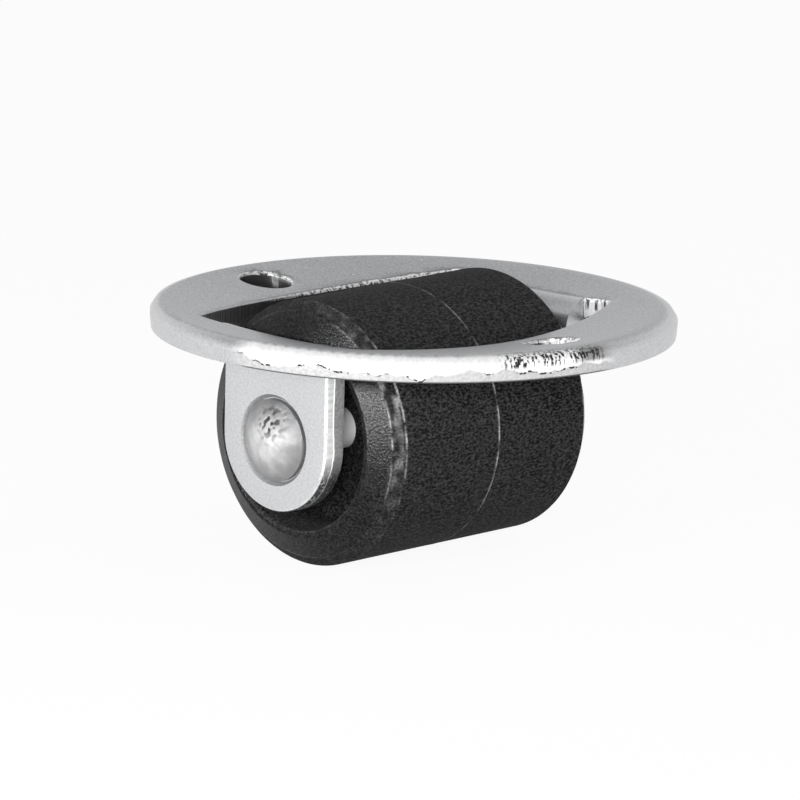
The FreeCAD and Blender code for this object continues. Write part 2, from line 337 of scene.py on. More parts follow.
    runs = add(tree, "ShaderNodeMapRange", {"Value": patches, "From Min": 0.45, "From Max": 0.51})
    dash = lip
    for limit in (gaps, runs, burnished_wall_and_highlight, plate):
        dash = add(tree, "ShaderNodeMath", {0: dash, 1: limit}, operation="MULTIPLY")
    ear_burr_and_highlight = add(tree, "ShaderNodeMath", {0: lip, 1: ear_wall}, operation="MULTIPLY")

    # Painted shade: the wall of one screw hole and the window's long walls are painted dark, without gouges
    painted_shade_hole = add(tree, "ShaderNodeMath", {0: at.outputs["X"], 1: PAINTED_SHADE_HOLE_X_MM}, operation="LESS_THAN")
    painted_shade = add(tree, "ShaderNodeMath", {0: edgewise, 1: painted_shade_hole}, operation="MAXIMUM")
    painted_shade = add(tree, "ShaderNodeMath", {0: painted_shade, 1: inner}, operation="MULTIPLY")
    outside_painted_shade = add(tree, "ShaderNodeMath", {0: 1.0, 1: painted_shade}, operation="SUBTRACT")
    gouge = add(tree, "ShaderNodeMath", {0: gouge, 1: outside_painted_shade}, operation="MULTIPLY")
    dark = add(tree, "ShaderNodeMath", {0: dash, 1: gouge}, operation="MAXIMUM")

    # Past its teeth, one side of the rim's upper wall is darker grey
    darker_turn = add(tree, "ShaderNodeVectorMath", {0: heading, 1: DARKER_SIDE}, operation="DOT_PRODUCT")
    darker_sector = add(tree, "ShaderNodeMapRange", {
        "Value": darker_turn.outputs["Value"], "From Min": 0.984, "From Max": 0.992, "To Max": 0.8})
    darker_sector = add(tree, "ShaderNodeMath", {0: darker_sector, 1: rim}, operation="MULTIPLY")
    darker_sector = add(tree, "ShaderNodeMath", {0: darker_sector, 1: shallow}, operation="MULTIPLY")

    # Painted shade: the rim's lowest edge is painted dark
    painted_shade_under_rim = add(tree, "ShaderNodeMapRange", {"Value": depth, "From Min": 0.93, "From Max": 0.97})
    painted_shade_under_rim = add(tree, "ShaderNodeMath", {0: painted_shade_under_rim, 1: rim}, operation="MULTIPLY")

    # The walls of the ears' round ends have dark mottles, darker towards the bottom
    low_end = add(tree, "ShaderNodeMapRange", {
        "Value": at.outputs["Z"], "From Min": MOTTLE_TOP_MM, "From Max": MOTTLE_TOP_MM - MOTTLE_FADE_MM})
    dark_mottle_spots = add(tree, "ShaderNodeMapRange", {"Value": crumbs, "From Min": 0.8, "From Max": 0.52})
    low_dark_mottle = add(tree, "ShaderNodeMath", {0: low_end, 1: dark_mottle_spots}, operation="MULTIPLY")
    low_dark_mottle = add(tree, "ShaderNodeMath", {0: low_dark_mottle, 1: ear_wall}, operation="MULTIPLY")

    # Punched edges carry a bright, broken burr that is partly a painted highlight: on the plate it is
    # painted only towards +Y, and on the ears along the tear line, fading towards their round ends
    tilted = add(tree, "ShaderNodeMapRange", {
        "Value": facing.outputs["Z"], "From Min": 0.93, "From Max": 0.8})
    not_upright = add(tree, "ShaderNodeMapRange", {
        "Value": facing.outputs["Z"], "From Min": 0.35, "From Max": 0.5})
    punched = add(tree, "ShaderNodeMath", {0: tilted, 1: not_upright}, operation="MULTIPLY")
    wall_top = add(tree, "ShaderNodeMapRange", {"Value": depth, "From Min": 0.17, "From Max": 0.13})
    wall_top = add(tree, "ShaderNodeMath", {0: wall_top, 1: upright}, operation="MULTIPLY")
    punched = add(tree, "ShaderNodeMath", {0: punched, 1: wall_top}, operation="MAXIMUM")
    punched = add(tree, "ShaderNodeMath", {0: punched, 1: inner}, operation="MULTIPLY")
    broken = add(tree, "ShaderNodeMapRange", {"Value": crumbs, "From Min": 0.4, "From Max": 0.52})
    far_side_highlight = add(tree, "ShaderNodeMapRange", {
        "Value": at.outputs["Y"], "From Min": FAR_HIGHLIGHT_START_MM, "From Max": FAR_HIGHLIGHT_FULL_MM})
    edge_burr_and_highlight = add(tree, "ShaderNodeMath", {0: punched, 1: broken}, operation="MULTIPLY")
    edge_burr_and_highlight = add(tree, "ShaderNodeMath", {0: edge_burr_and_highlight, 1: far_side_highlight}, operation="MULTIPLY")
    upper_end = add(tree, "ShaderNodeMapRange", {"Value": low_end, "To Min": 1.0, "To Max": 0.2})
    ear_burr_and_highlight = add(tree, "ShaderNodeMath", {0: ear_burr_and_highlight, 1: upper_end}, operation="MULTIPLY")
    burr_and_painted_light = add(tree, "ShaderNodeMath", {0: edge_burr_and_highlight, 1: ear_burr_and_highlight}, operation="MAXIMUM")

    # Painted highlight: the bevel round an ear's outer face is painted bright and broken too, down to the
    # round end
    turning = add(tree, "ShaderNodeMapRange", {
        "Value": facing.outputs["Y"], "From Min": 0.97, "From Max": 0.85})
    not_side = add(tree, "ShaderNodeMapRange", {
        "Value": facing.outputs["Y"], "From Min": 0.45, "From Max": 0.6})
    outer_face = add(tree, "ShaderNodeMath", {0: ear_depth, 1: EAR_BEVEL_MM}, operation="LESS_THAN")
    edge_zone = add(tree, "ShaderNodeVectorMath", {0: axle_spot, 1: (1, 0, 1)}, operation="MULTIPLY")
    edge_reach = add(tree, "ShaderNodeVectorMath", {0: edge_zone}, operation="LENGTH")
    past_dimple = add(tree, "ShaderNodeMath", {
        0: edge_reach.outputs["Value"], 1: EAR_HALF_MM - DIMPLE_MARGIN_MM}, operation="GREATER_THAN")
    bevel = turning
    for limit in (not_side, hanging, outer_face, ear, past_dimple, upper_end, broken):
        bevel = add(tree, "ShaderNodeMath", {0: bevel, 1: limit}, operation="MULTIPLY")
    burr_and_painted_light = add(tree, "ShaderNodeMath", {0: burr_and_painted_light, 1: bevel}, operation="MAXIMUM")

    # The plating's grain, and nodules that stand on it here and there
    grain = add(tree, "ShaderNodeTexNoise", {
        "Vector": spot, "Scale": 1 / GRAIN_MM, "Detail": 3.0, "Roughness": 0.7})
    speckle = add(tree, "ShaderNodeMapRange", {"Value": grain, "From Min": 0.32, "From Max": 0.68})
    cells = add(tree, "ShaderNodeTexVoronoi", {"Vector": spot, "Scale": 1 / NODULE_SPACING_MM})
    chance = add(tree, "ShaderNodeSeparateXYZ", {0: cells.outputs["Color"]})
    chosen = add(tree, "ShaderNodeMath", {0: chance.outputs["X"], 1: 0.9}, operation="GREATER_THAN")
    round_spot = add(tree, "ShaderNodeMapRange", {
        "Value": cells.outputs["Distance"], "From Min": 0.12, "From Max": 0.05})
    nodule = add(tree, "ShaderNodeMath", {0: chosen, 1: round_spot}, operation="MULTIPLY")

    face_colour = add(tree, "ShaderNodeMix", {
        0: speckle, 6: linear("#85868A"), 7: linear("#BCBDBF")}, data_type="RGBA")
    # Painted light: the ears' faces are a lighter copy of the plate's colour
    ear_colour_painted_lighter = add(tree, "ShaderNodeMix", {
        0: speckle, 6: linear("#B7B8BA"), 7: linear("#D1D2D4")}, data_type="RGBA")
    face_colour = add(tree, "ShaderNodeMix", {
        0: ear, 6: face_colour.outputs[2], 7: ear_colour_painted_lighter.outputs[2]}, data_type="RGBA")
    burnish_colour = add(tree, "ShaderNodeMix", {
        0: drag, 6: linear("#C2C2C3"), 7: linear("#F0F0F0")}, data_type="RGBA")
    plate_torn = add(tree, "ShaderNodeMix", {
        0: crumbs, 6: linear("#888889"), 7: linear("#C6C6C6")}, data_type="RGBA")
    ear_torn = add(tree, "ShaderNodeMix", {
        0: crumbs, 6: linear("#4C4C4D"), 7: linear("#A8A8A8")}, data_type="RGBA")
    torn_colour = add(tree, "ShaderNodeMix", {
        0: ear, 6: plate_torn.outputs[2], 7: ear_torn.outputs[2]}, data_type="RGBA")
    ear_burnish = add(tree, "ShaderNodeMix", {
        0: drag, 6: linear("#909091"), 7: linear("#E0E0E0")}, data_type="RGBA")
    burnish_colour = add(tree, "ShaderNodeMix", {
        0: ear, 6: burnish_colour.outputs[2], 7: ear_burnish.outputs[2]}, data_type="RGBA")
    wall_colour = add(tree, "ShaderNodeMix", {
        0: torn, 6: burnish_colour.outputs[2], 7: torn_colour.outputs[2]}, data_type="RGBA")
    # Darker marks on the walls: a darker sector of the rim, painted shade on its lowest edge, dark mottles
    # low on the ears' ends, and painted shade in one hole and the window's long walls
    wall_marks = ((darker_sector, "#585858"), (painted_shade_under_rim, "#4A4A4A"), (low_dark_mottle, "#2A2A2A"), (painted_shade, "#444444"))
    for mark, tone in wall_marks:
        wall_colour = add(tree, "ShaderNodeMix", {
            0: mark, 6: wall_colour.outputs[2], 7: linear(tone)}, data_type="RGBA")
    pale_wall = add(tree, "ShaderNodeMath", {0: wall, 1: 0.35}, operation="MULTIPLY")
    face_colour = add(tree, "ShaderNodeMix", {
        0: pale_wall, 6: face_colour.outputs[2], 7: linear("#F0F0F0")}, data_type="RGBA")
    colour = add(tree, "ShaderNodeMix", {
        0: burnished_wall_and_highlight, 6: face_colour.outputs[2], 7: wall_colour.outputs[2]}, data_type="RGBA")
    # Burrs and painted highlights are near-white, gouges and dashes near-black, nodules pale
    for mark, tone in ((burr_and_painted_light, "#FAFAFA"), (dark, "#1C1C1C"), (nodule, "#E8E8E8")):
        colour = add(tree, "ShaderNodeMix", {
            0: mark, 6: colour.outputs[2], 7: linear(tone)}, data_type="RGBA")

    face_rough = add(tree, "ShaderNodeMapRange", {"Value": grain, "To Min": 0.28, "To Max": 0.46})
    plate_rough = add(tree, "ShaderNodeMapRange", {"Value": torn, "To Min": 0.36, "To Max": 0.45})
    wall_rough = add(tree, "ShaderNodeMix", {0: ear_wall, 2: plate_rough, 3: 0.62}, data_type="FLOAT")
    rough = add(tree, "ShaderNodeMix", {0: burnished_wall_and_highlight, 2: face_rough, 3: wall_rough}, data_type="FLOAT")
    rough = add(tree, "ShaderNodeMix", {0: burr_and_painted_light, 2: rough, 3: 0.7}, data_type="FLOAT")

    burnish_height = add(tree, "ShaderNodeMath", {0: drag, 1: DRAG_HEIGHT_MM}, operation="MULTIPLY")
    torn_height = add(tree, "ShaderNodeMath", {0: crumbs, 1: CRUMB_HEIGHT_MM}, operation="MULTIPLY")
    wall_height = add(tree, "ShaderNodeMix", {0: torn, 2: burnish_height, 3: torn_height},
                      data_type="FLOAT")
    grain_height = add(tree, "ShaderNodeMath", {0: grain, 1: GRAIN_HEIGHT_MM}, operation="MULTIPLY")
    height = add(tree, "ShaderNodeMix", {0: burnished_wall_and_highlight, 2: grain_height, 3: wall_height},
                 data_type="FLOAT")
    for mark, rise in ((dark, -GOUGE_HEIGHT_MM), (nodule, NODULE_HEIGHT_MM)):
        height = add(tree, "ShaderNodeMath", {0: mark, 1: rise, 2: height}, operation="MULTIPLY_ADD")
    relief = add(tree, "ShaderNodeBump", {"Height": height, "Distance": MM})
    # Burnished walls, burrs and painted highlights are less metallic, outside the painted shade
    burnish_burr_and_highlight = add(tree, "ShaderNodeMath", {0: burnished_wall_and_highlight, 1: burr_and_painted_light}, operation="MAXIMUM")
    burnish_burr_and_highlight = add(tree, "ShaderNodeMath", {0: burnish_burr_and_highlight, 1: outside_painted_shade}, operation="MULTIPLY")
    metal = add(tree, "ShaderNodeMapRange", {"Value": burnish_burr_and_highlight, "To Min": 0.85, "To Max": 0.4})
    shader = add(tree, "ShaderNodeBsdfPrincipled", {
        "Base Color": colour.outputs[2], "Metallic": metal, "Roughness": rough, "Normal": relief})
    tree.links.new(shader.outputs["BSDF"], output.inputs["Surface"])
    return material


def bright_rivet():
    """Zinc-plated steel, hammered over: bright domes with duller patches, painted shade at their edges and
    painted dark reflections on their burrs, and a shank painted pale as a painted highlight.
    """
    material, tree, output = new_material("zinc_plated_steel_riveted")
    place = add(tree, "ShaderNodeTexCoord")
    spot = add(tree, "ShaderNodeVectorMath", {0: place.outputs["Object"], "Scale": 1 / MM},
               operation="SCALE")
    at = add(tree, "ShaderNodeSeparateXYZ", {0: spot})
    along = add(tree, "ShaderNodeMath", {0: at.outputs["Y"]}, operation="ABSOLUTE")
    shank = add(tree, "ShaderNodeMath", {0: along, 1: EAR_FACE_MM - SHEET_MM}, operation="LESS_THAN")
    patches = add(tree, "ShaderNodeTexNoise", {"Vector": spot, "Scale": 1 / PATCH_MM, "Detail": 4.0})
    grain = add(tree, "ShaderNodeTexNoise", {"Vector": spot, "Scale": 1 / GRAIN_MM, "Detail": 2.0})
    dome_colour = add(tree, "ShaderNodeMix", {
        0: patches, 6: linear("#9C9C9D"), 7: linear("#FFFFFF")}, data_type="RGBA")
    # Painted shade: each dome is painted darker towards its edge
    turned = add(tree, "ShaderNodeVectorMath", {0: spot, 1: (0, 0, -axle_height / MM)}, operation="ADD")
    turned = add(tree, "ShaderNodeVectorMath", {0: turned, 1: (1, 0, 1)}, operation="MULTIPLY")
    reach = add(tree, "ShaderNodeVectorMath", {0: turned}, operation="LENGTH")
    painted_shade_skirt = add(tree, "ShaderNodeMapRange", {
        "Value": reach.outputs["Value"], "From Min": SKIRT_START_MM, "From Max": SKIRT_FULL_MM,
        "To Max": 0.75})
    dome_colour = add(tree, "ShaderNodeMix", {
        0: painted_shade_skirt, 6: dome_colour.outputs[2], 7: linear("#848485")}, data_type="RGBA")
    # Painted dark reflection: the burr's dents are painted dark
    burr_and_painted_light = add(tree, "ShaderNodeAttribute", attribute_name="burr_and_painted_light")
    dome_colour = add(tree, "ShaderNodeMix", {
        0: burr_and_painted_light.outputs["Fac"], 6: dome_colour.outputs[2], 7: linear("#4C4C4C")}, data_type="RGBA")
    # Painted highlight: the shank is painted pale white, and not metallic
    colour = add(tree, "ShaderNodeMix", {
        0: shank, 6: dome_colour.outputs[2], 7: linear("#F4F4F4")}, data_type="RGBA")
    dome_rough = add(tree, "ShaderNodeMapRange", {"Value": patches, "To Min": 0.7, "To Max": 0.5})
    rough = add(tree, "ShaderNodeMix", {0: shank, 2: dome_rough, 3: 0.4}, data_type="FLOAT")
    metal = add(tree, "ShaderNodeMapRange", {"Value": shank, "To Min": 1.0, "To Max": 0.0})
    height = add(tree, "ShaderNodeMath", {0: grain, 1: GRAIN_HEIGHT_MM}, operation="MULTIPLY")
    relief = add(tree, "ShaderNodeBump", {"Height": height, "Distance": MM})
    shader = add(tree, "ShaderNodeBsdfPrincipled", {
        "Base Color": colour.outputs[2], "Metallic": metal, "Roughness": rough, "Normal": relief})
    tree.links.new(shader.outputs["BSDF"], output.inputs["Surface"])
    return material


def black_moulding():
    """Black polypropylene, moulded: matte, finely pitted, with pale flash where the mould parted.

    The bevels and ends are painted darker than the tread, as painted shade. The ends are smoother too, so
    they shine a little."""
    material, tree, output = new_material("polypropylene_moulded_black")
    place = add(tree, "ShaderNodeTexCoord")
    spot = add(tree, "ShaderNodeVectorMath", {0: place.outputs["Object"], "Scale": 1 / MM},
               operation="SCALE")
    stretched = add(tree, "ShaderNodeVectorMath", {0: spot, 1: (1, PIT_STRETCH, 1)}, operation="MULTIPLY")
    pits = add(tree, "ShaderNodeTexNoise", {
        "Vector": stretched, "Scale": 1 / PIT_MM, "Detail": 2.5, "Roughness": 0.7})
    pale = add(tree, "ShaderNodeMapRange", {"Value": pits, "From Min": 0.4, "From Max": 0.64})
    clouds = add(tree, "ShaderNodeTexNoise", {"Vector": spot, "Scale": 1 / CLOUD_MM, "Detail": 2.0})
    middle = (0, -roller_middle / MM, -axle_height / MM)
    axle_spot = add(tree, "ShaderNodeVectorMath", {0: spot, 1: middle}, operation="ADD")
    axle_at = add(tree, "ShaderNodeSeparateXYZ", {0: axle_spot})
    along = add(tree, "ShaderNodeMath", {0: axle_at.outputs["Y"]}, operation="ABSOLUTE")
    end_place = roller_half / MM - TREAD_SETBACK_MM
    past = add(tree, "ShaderNodeMath", {0: along, 1: end_place}, operation="GREATER_THAN")
    turned = add(tree, "ShaderNodeVectorMath", {0: axle_spot, 1: (1, 0, 1)}, operation="MULTIPLY")
    reach = add(tree, "ShaderNodeVectorMath", {0: turned}, operation="LENGTH")
    outside = add(tree, "ShaderNodeMath", {0: reach.outputs["Value"], 1: RECESS_RADIUS_MM + END_MARGIN_MM},
                  operation="GREATER_THAN")
    end = add(tree, "ShaderNodeMath", {0: past, 1: outside}, operation="MULTIPLY")
    smooth_place = roller_half / MM - SHOULDER_SETBACK_MM - SHOULDER_MARGIN_MM
    smooth = add(tree, "ShaderNodeMath", {0: along, 1: smooth_place}, operation="GREATER_THAN")
    smooth = add(tree, "ShaderNodeMath", {0: smooth, 1: outside}, operation="MULTIPLY")
    flash = add(tree, "ShaderNodeAttribute", attribute_name="flash")
    colour = add(tree, "ShaderNodeMix", {
        0: pale, 6: linear("#030303"), 7: linear("#363637")}, data_type="RGBA")
    # Painted shade: the bevels and ends are painted darker than the tread
    painted_shade_end_colour = add(tree, "ShaderNodeMix", {
        0: pale, 6: linear("#010101"), 7: linear("#262627")}, data_type="RGBA")
    colour = add(tree, "ShaderNodeMix", {
        0: end, 6: colour.outputs[2], 7: painted_shade_end_colour.outputs[2]}, data_type="RGBA")
    patchy = add(tree, "ShaderNodeMapRange", {
        "Value": pits, "From Min": 0.35, "From Max": 0.65, "To Min": 0.45, "To Max": 1.25})
    flash_share = add(tree, "ShaderNodeMath", {0: flash.outputs["Fac"], 1: patchy}, operation="MULTIPLY")
    colour = add(tree, "ShaderNodeMix", {
        0: flash_share, 6: colour.outputs[2], 7: linear("#9A9A9A")}, data_type="RGBA")
    grainy = add(tree, "ShaderNodeMapRange", {"Value": pits, "To Min": 0.72, "To Max": 0.9})
    rough = add(tree, "ShaderNodeMath", {0: clouds, 1: 0.08, 2: grainy}, operation="MULTIPLY_ADD")
    rough = add(tree, "ShaderNodeMix", {0: smooth, 2: rough, 3: 0.3}, data_type="FLOAT")
    height = add(tree, "ShaderNodeMath", {0: pits, 1: PIT_HEIGHT_MM}, operation="MULTIPLY")
    relief = add(tree, "ShaderNodeBump", {"Height": height, "Distance": MM})
    shader = add(tree, "ShaderNodeBsdfPrincipled", {
        "Base Color": colour.outputs[2], "Roughness": rough, "Specular IOR Level": MOULDING_GLOSS,
        "Normal": relief})
    tree.links.new(shader.outputs["BSDF"], output.inputs["Surface"])
    return material


def dress(node_name, material):
    """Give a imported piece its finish."""
    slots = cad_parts[node_name].data.materials
    slots.clear()
    slots.append(material)


def put_in_scene(name, mesh, material, body, node_name):
    """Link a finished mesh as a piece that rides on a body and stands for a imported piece."""
    mesh.materials.append(material)
    mesh.shade_smooth()
    piece = bpy.data.objects.new(name, mesh)
    bpy.context.scene.collection.objects.link(piece)
    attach(piece, body)
    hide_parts(node_name)
    return piece


def plate_skin(material):
    """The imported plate's own faces with shared corners joined, so that light rolls over its small bevels.

    Corners that round to the same place become one, and each face keeps its three corners in order."""
    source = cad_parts["mounting_plate"].data
    points = np.empty(len(source.vertices) * 3)
    source.vertices.foreach_get("co", points)
    points = points.reshape(-1, 3)
    corners = np.empty(len(source.loops), np.int32)
    source.loops.foreach_get("vertex_index", corners)
    rounded = np.round(points / WELD)
    first, owner = np.unique(rounded, axis=0, return_index=True, return_inverse=True)[1:]
    faces = owner.ravel()[corners].reshape(-1, 3)
    whole = (faces != np.roll(faces, 1, axis=1)).all(axis=1)
    mesh = bpy.data.meshes.new("plate_pressing")
    mesh.from_pydata(points[first].tolist(), [], faces[whole].tolist())
    piece = put_in_scene("plate_pressing", mesh, material, "bracket", "mounting_plate")
    mesh.set_sharp_from_angle(angle=SMOOTH_ANGLE)
    flat_faces = piece.modifiers.new("flat_faces", "WEIGHTED_NORMAL")
    flat_faces.keep_sharp = True


def rounded_profile(corners):
    """Points of a closed outline: each (along, out, rounding) corner becomes an arc of its rounding radius.

    The arc's centre lies on the corner's bisector, and its ends touch the two straight runs."""
    points = np.array([corner[:2] for corner in corners], float)
    back = np.roll(points, 1, axis=0) - points
    ahead = np.roll(points, -1, axis=0) - points
    back /= np.linalg.norm(back, axis=1, keepdims=True)
    ahead /= np.linalg.norm(ahead, axis=1, keepdims=True)
    half_angle = np.arccos(np.clip((back * ahead).sum(1), -1, 1)) / 2
    rounding = np.array([corner[2] for corner in corners], float)
    reach = (rounding / np.tan(half_angle))[:, None]
    inwards = back + ahead
    inwards /= np.linalg.norm(inwards, axis=1, keepdims=True)
    centre = points + inwards * (rounding / np.sin(half_angle))[:, None]
    start = points + back * reach - centre
    end = points + ahead * reach - centre
    sweep = np.pi - 2 * half_angle
    share = np.linspace(0, 1, ROUNDING_STEPS)[None, :, None]
    turn = sweep[:, None, None]
    arcs = np.sin((1 - share) * turn) * start[:, None] + np.sin(share * turn) * end[:, None]
    return (centre[:, None] + arcs / np.sin(turn)).reshape(-1, 2)


def graded(profile, marks, finest, coarsest, growth):
    """The same closed outline with points close together near the marks and far apart elsewhere.

    The outline is divided finely, then a point is kept each time the running sum of length over spacing
    passes a whole number. Spacing is the distance to the nearest mark times a growth, within limits."""
    ahead = np.roll(profile, -1, axis=0)
    counts = np.maximum(1, np.ceil(np.linalg.norm(ahead - profile, axis=1) / finest)).astype(int)
    share = np.concatenate([np.arange(count) / count for count in counts])[:, None]
    dense = np.repeat(profile, counts, axis=0) * (1 - share) + np.repeat(ahead, counts, axis=0) * share
    gap = np.linalg.norm(dense[:, None] - np.array(marks)[None], axis=2).min(axis=1)
    spacing = np.clip(gap * growth, finest, coarsest)
    step = np.linalg.norm(np.roll(dense, -1, axis=0) - dense, axis=1)
    passed = np.floor(np.cumsum(step / spacing))
    return dense[passed != np.roll(passed, 1)]


def swell(angle, turn, least, power):
    """A share that is 1 at one turn and least opposite it: a power of half of one plus the gap's cosine."""
    return least + (1 - least) * (0.5 + 0.5 * np.cos(angle - turn)) ** power


def ragged(angle, span, seed):
    """Periodic noise round a full turn: cosines of every whole frequency in a span, with seeded phases."""
    draw = np.random.default_rng(seed)
    waves = np.arange(*span)
    phase = draw.uniform(0, 2 * np.pi, len(waves))
    height = draw.normal(0, 1, len(waves)) * np.sqrt(2 / len(waves))
    return (np.cos(np.multiply.outer(angle, waves) + phase) * height).sum(-1)


def rolling(x, z, length, seed):
    """Smooth noise over a plane: cosines of seeded headings, with wavelengths round the given length."""
    draw = np.random.default_rng(seed)
    heading = draw.uniform(0, 2 * np.pi, SMOOTH_WAVES)
    wave = 2 * np.pi / (length * draw.uniform(0.6, 1.6, SMOOTH_WAVES))
    phase = draw.uniform(0, 2 * np.pi, SMOOTH_WAVES)
    ways = np.multiply.outer(x, wave * np.cos(heading)) + np.multiply.outer(z, wave * np.sin(heading))
    return np.cos(ways + phase).sum(-1) / np.sqrt(SMOOTH_WAVES / 2)


def turned_points(along, out, angle, middle):
    """Points turned about the axle: at middle + along on Y, and out from its line, from +X towards +Z."""
    return np.stack([out * np.cos(angle), middle + along, axle_height + out * np.sin(angle)], axis=-1)


def grid_faces(rows, columns, ring):
    """Four-cornered faces of a grid whose columns close round a turn, and whose rows do too in a ring."""
    row, column = np.meshgrid(np.arange(rows if ring else rows - 1), np.arange(columns), indexing="ij")
    next_row = (row + 1) % rows
    next_column = (column + 1) % columns
    faces = np.stack([row * columns + column, next_row * columns + column,
                      next_row * columns + next_column, row * columns + next_column], axis=-1)
    return faces.reshape(-1, 4)


def roller_skin(material):
    """The moulded roller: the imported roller's outline with moulded roundings, carried round the axle.

    A ridge stands along the mould's parting line, and ragged flash along both edges of each bevel.
    Each ridge is a bell curve of the distance from its edge, times a seeded noise of the angle.
    The flash attribute holds the ridges, and faint marks of a smooth noise on the bevels between them."""
    half = roller_half / MM
    radius = roller_radius / MM - SKIN_INSET_MM
    floor = half - RECESS_DEPTH_MM
    shoulder = (half - SHOULDER_SETBACK_MM, radius - SHOULDER_DROP_MM)
    tread_edge = (half - TREAD_SETBACK_MM, radius)
    half_outline = [
        (floor, BORE_RADIUS_MM, BORE_ROUNDING_MM),
        (floor, RECESS_FLOOR_RADIUS_MM, FLOOR_ROUNDING_MM),
        (half, RECESS_RADIUS_MM, LIP_ROUNDING_MM),
        (half, RECESS_RADIUS_MM + RECESS_LIP_MM, LIP_ROUNDING_MM),
        (*shoulder, EDGE_ROUNDING_MM),
        (*tread_edge, EDGE_ROUNDING_MM),
    ]
    corners = half_outline + [(-along, out, rounding) for along, out, rounding in reversed(half_outline)]
    marks = [corner[:2] for corner in corners] + [(SEAM_PLACE_MM, radius)]
    profile = graded(rounded_profile(corners), marks, FINEST_STEP_MM, COARSEST_STEP_MM, STEP_GROWTH)
    angle = np.linspace(0, 2 * np.pi, ROLLER_ANGLES, endpoint=False)
    along = np.repeat(profile[:, :1], ROLLER_ANGLES, axis=1)
    out = np.repeat(profile[:, 1:], ROLLER_ANGLES, axis=1)
    flash = np.zeros_like(out)
    heavy = swell(angle, FLASH_HEAVY_TURN, FLASH_LEAST, FLASH_POWER)
    lift_along = np.zeros_like(out)
    lift_out = np.zeros_like(out)
    for side in (-1, 1):
        for number, (edge, lean) in enumerate(((shoulder, FLASH_LEAN), (tread_edge, 0.0))):
            gap = np.hypot(profile[:, 0] - side * edge[0], profile[:, 1] - edge[1])
            bell = np.exp(-(gap / FLASH_HALF_MM) ** 2)[:, None]
            seed = FLASH_SEED + FLASH_EDGE_SEED * number + side
            rough = FLASH_BASE + FLASH_SWING * ragged(angle, FLASH_WAVES, seed)
            rough += FLASH_FINE_SWING * ragged(angle, FLASH_FINE_WAVES, seed + FLASH_FINE_SEED)
            ridge = bell * (np.clip(rough, 0, FLASH_MOST) * heavy)[None]
            flash = np.maximum(flash, ridge)
            height = FLASH_HEIGHT_MM if lean else SKIN_INSET_MM
            lift_along += side * lean * ridge * height
            lift_out += (1 - lean) * np.minimum(ridge, 1) * height
    bevel = (np.abs(along) > tread_edge[0]) & (np.abs(along) < shoulder[0]) & (out > shoulder[1])
    around = angle[None] * radius * BEVEL_MARK_STRETCH
    marked = BEVEL_MARK_BASE + BEVEL_MARK_SWING * rolling(around, along, BEVEL_MARK_MM, BEVEL_MARK_SEED)
    flash = np.maximum(flash, bevel * np.clip(marked, 0, BEVEL_MARK_MOST) * heavy)
    seam_share = np.clip(SEAM_BASE + SEAM_SWING * ragged(angle, SEAM_WAVES, SEAM_SEED), SEAM_FAINTEST, 1)
    seam_share *= swell(angle, SEAM_HEAVY_TURN, SEAM_LEAST, SEAM_POWER)
    seam = np.exp(-((along - SEAM_PLACE_MM) / SEAM_HALF_MM) ** 2) * (out > radius - SEAM_HALF_MM)
    lift_out += seam * SKIN_INSET_MM * seam_share
    flash = np.maximum(flash, seam * seam_share)
    points = turned_points((along + lift_along) * MM, (out + lift_out) * MM, angle, roller_middle)
    mesh = bpy.data.meshes.new("roller_moulding")
    mesh.from_pydata(points.reshape(-1, 3).tolist(), [], grid_faces(*out.shape, ring=True).tolist())
    share = mesh.attributes.new("flash", "FLOAT", "POINT")
    share.data.foreach_set("value", np.clip(flash, 0, 1).ravel().astype(np.float32))
    return put_in_scene("roller_moulding", mesh, material, "roller", "roller")


